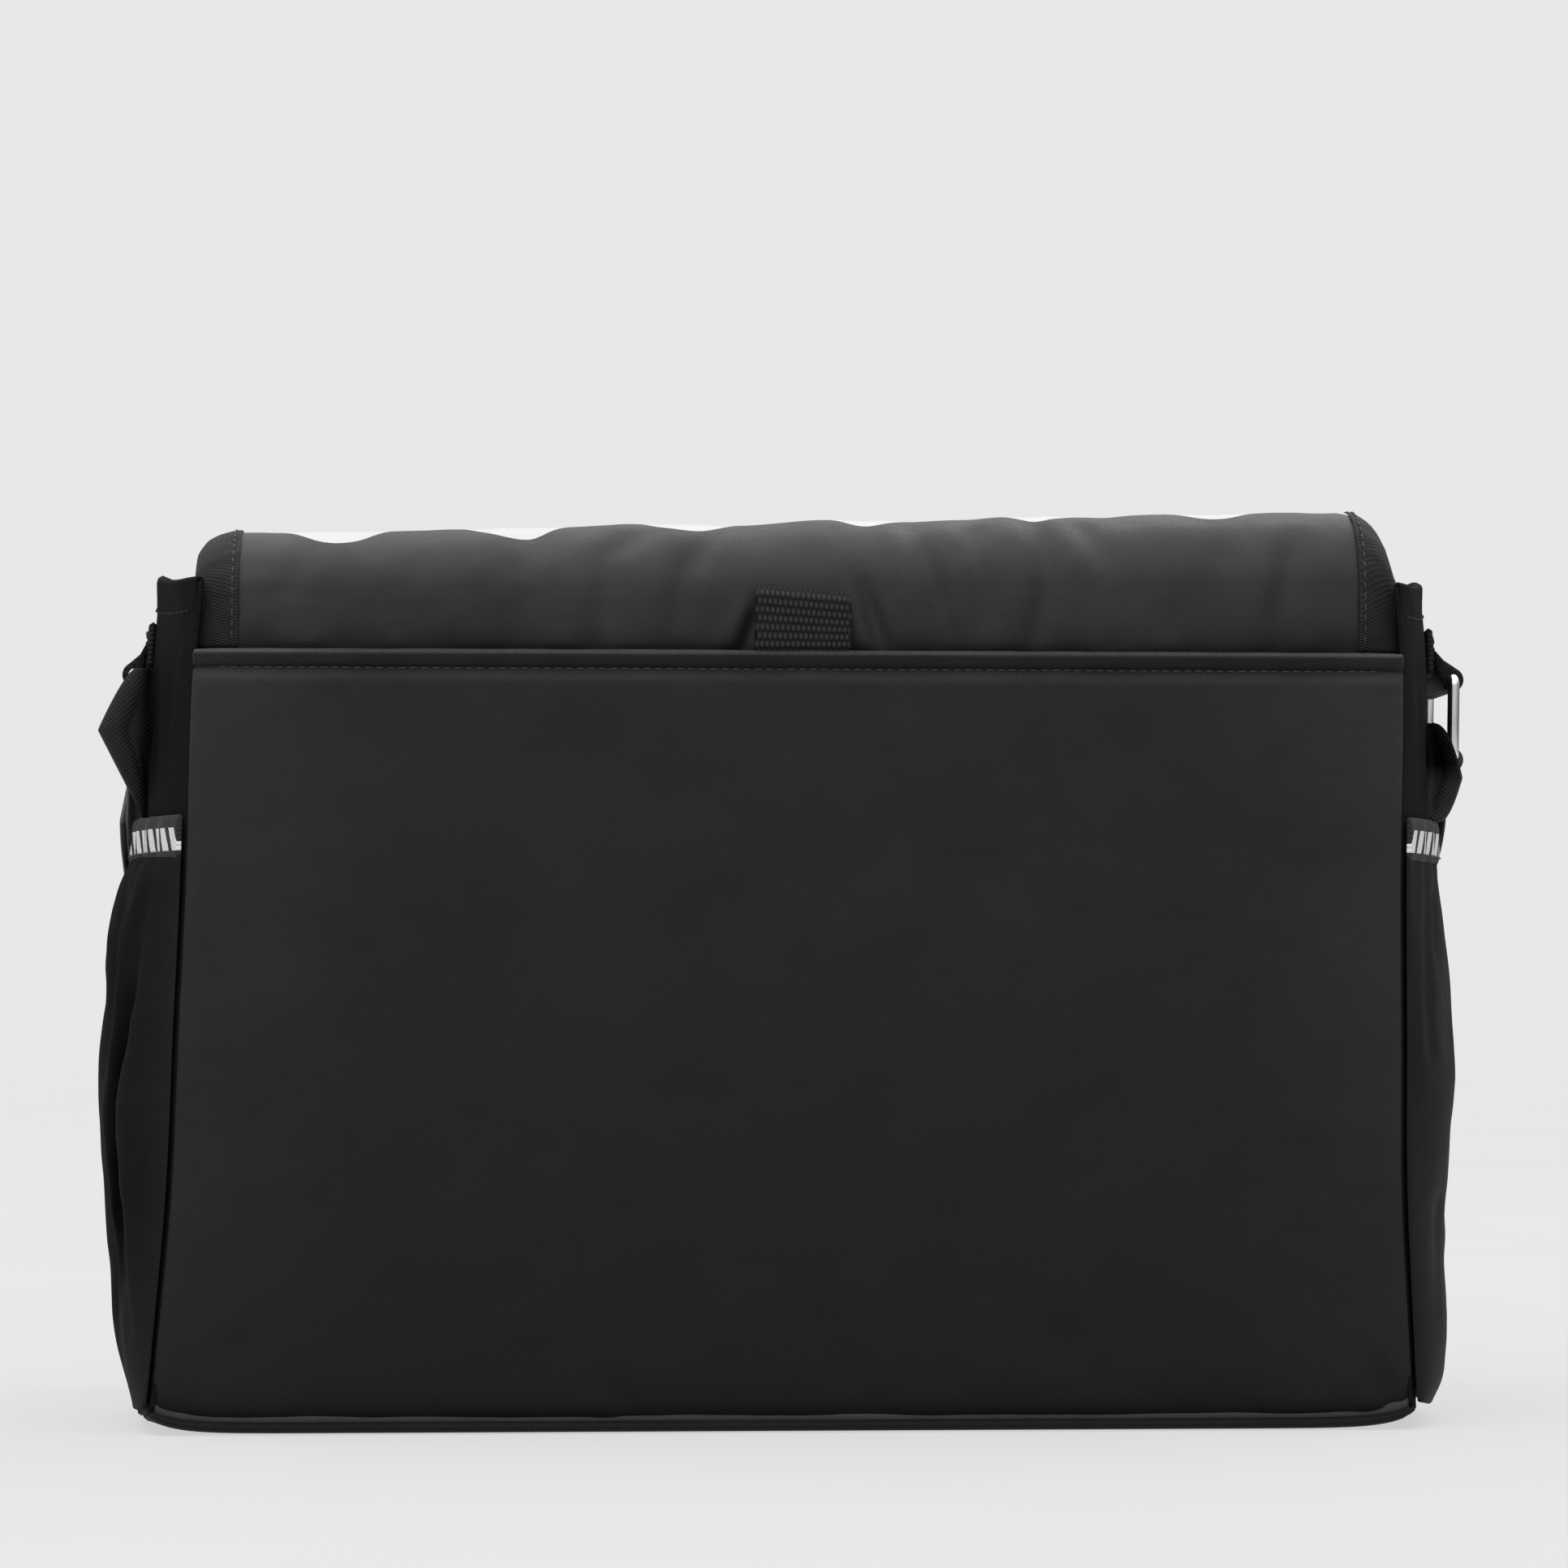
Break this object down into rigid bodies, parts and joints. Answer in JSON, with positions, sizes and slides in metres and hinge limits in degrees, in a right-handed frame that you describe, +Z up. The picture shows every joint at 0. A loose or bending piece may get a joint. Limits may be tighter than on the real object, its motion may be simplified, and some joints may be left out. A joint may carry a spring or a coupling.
{
  "type": "messenger bag",
  "caption": "Messenger bag with padded body, rear slip pocket, elastic-topped side pockets, bound snap flap that folds back, and a webbing shoulder strap on rings.",
  "frame": {"origin": "under the middle of the base, on the floor it stands on", "axes": "+X along the width (towards the side pocket beside the strap's adjuster), +Z up, -Y to the front that the flap closes over, +Y to the back with the slip pocket"},
  "size_m": [0.4589, 0.2235, 0.2979],
  "materials": {
    "shell_nylon": "matte black woven nylon",
    "flap_nylon": "black twill nylon with a soft sheen",
    "lining": "plain grey lining cloth",
    "foam": "closed-cell foam",
    "board": "stiff plastic sheet",
    "webbing": "ribbed black webbing",
    "binding": "ribbed black tape",
    "elastic": "black elastic tape with a woven light pattern",
    "ring_steel": "polished",
    "snap_metal": "satin",
    "zip_coil": "matte nylon",
    "zip_metal": "satin",
    "buckle_plastic": "moulded black"
  },
  "bodies": {
    "bag": {"back_panel": "shell_nylon", "back_foam": "foam", "back_pocket": "shell_nylon", "front_panel": "shell_nylon", "front_foam": "foam", "gusset_left": "shell_nylon", "gusset_right": "shell_nylon", "base_panel": "shell_nylon", "base_board": "board", "lining": "lining", "inner_pocket": "lining", "mouth_binding": "binding", "front_pocket": "shell_nylon", "side_pocket_left": "shell_nylon", "side_pocket_right": "shell_nylon", "pocket_elastic_left": "elastic", "pocket_elastic_right": "elastic", "tab_patch_left": "webbing", "tab_patch_right": "webbing", "hanging_loop": "webbing", "snap_socket_left": "snap_metal", "snap_socket_right": "snap_metal", "zip_welt": "lining", "zip_tape": "zip_coil", "zip_coil": "zip_coil", "flap_root": "flap_nylon", "flap_root_binding": "binding"},
    "flap_top": {"flap_top_shell": "flap_nylon", "flap_top_wadding": "foam", "flap_top_lining": "lining", "flap_top_binding": "binding"},
    "flap_front": {"flap_front_shell": "flap_nylon", "flap_front_wadding": "foam", "flap_front_lining": "lining", "flap_front_binding": "binding", "snap_stud_left": "snap_metal", "snap_stud_right": "snap_metal"},
    "strap_loop": {"strap": "webbing", "strap_tail": "webbing", "ring_left": "ring_steel", "ring_right": "ring_steel", "tab_loop_left": "webbing", "tab_loop_right": "webbing", "strap_slider": "buckle_plastic"},
    "inner_zip_slider": {"zip_slider": "zip_metal"},
    "inner_zip_pull": {"zip_pull": "zip_metal"}
  },
  "joints": [
    {"name": "flap_hinge", "type": "hinge", "parent": "bag", "child": "flap_top", "pos_m": [0, 0.054, 0.292], "axis": [-1, 0, 0], "range_deg": [0, 225]},
    {"name": "flap_fold", "type": "hinge", "parent": "flap_top", "child": "flap_front", "pos_m": [0, -0.0742, 0.2912], "axis": [-1, 0, 0], "range_deg": [0, 90]},
    {"name": "strap_swing", "type": "hinge", "parent": "bag", "child": "strap_loop", "pos_m": [0, 0, 0.2465], "axis": [-1, 0, 0], "range_deg": [0, 150]},
    {"name": "zip_slide", "type": "slide", "parent": "bag", "child": "inner_zip_slider", "axis": [1, 0, 0], "range_m": [0, 0.196]},
    {"name": "zip_pull_swing", "type": "hinge", "parent": "inner_zip_slider", "child": "inner_zip_pull", "pos_m": [-0.098, 0.0377, 0.215], "axis": [-1, 0, 0], "range_deg": [0, 165]}
  ]
}
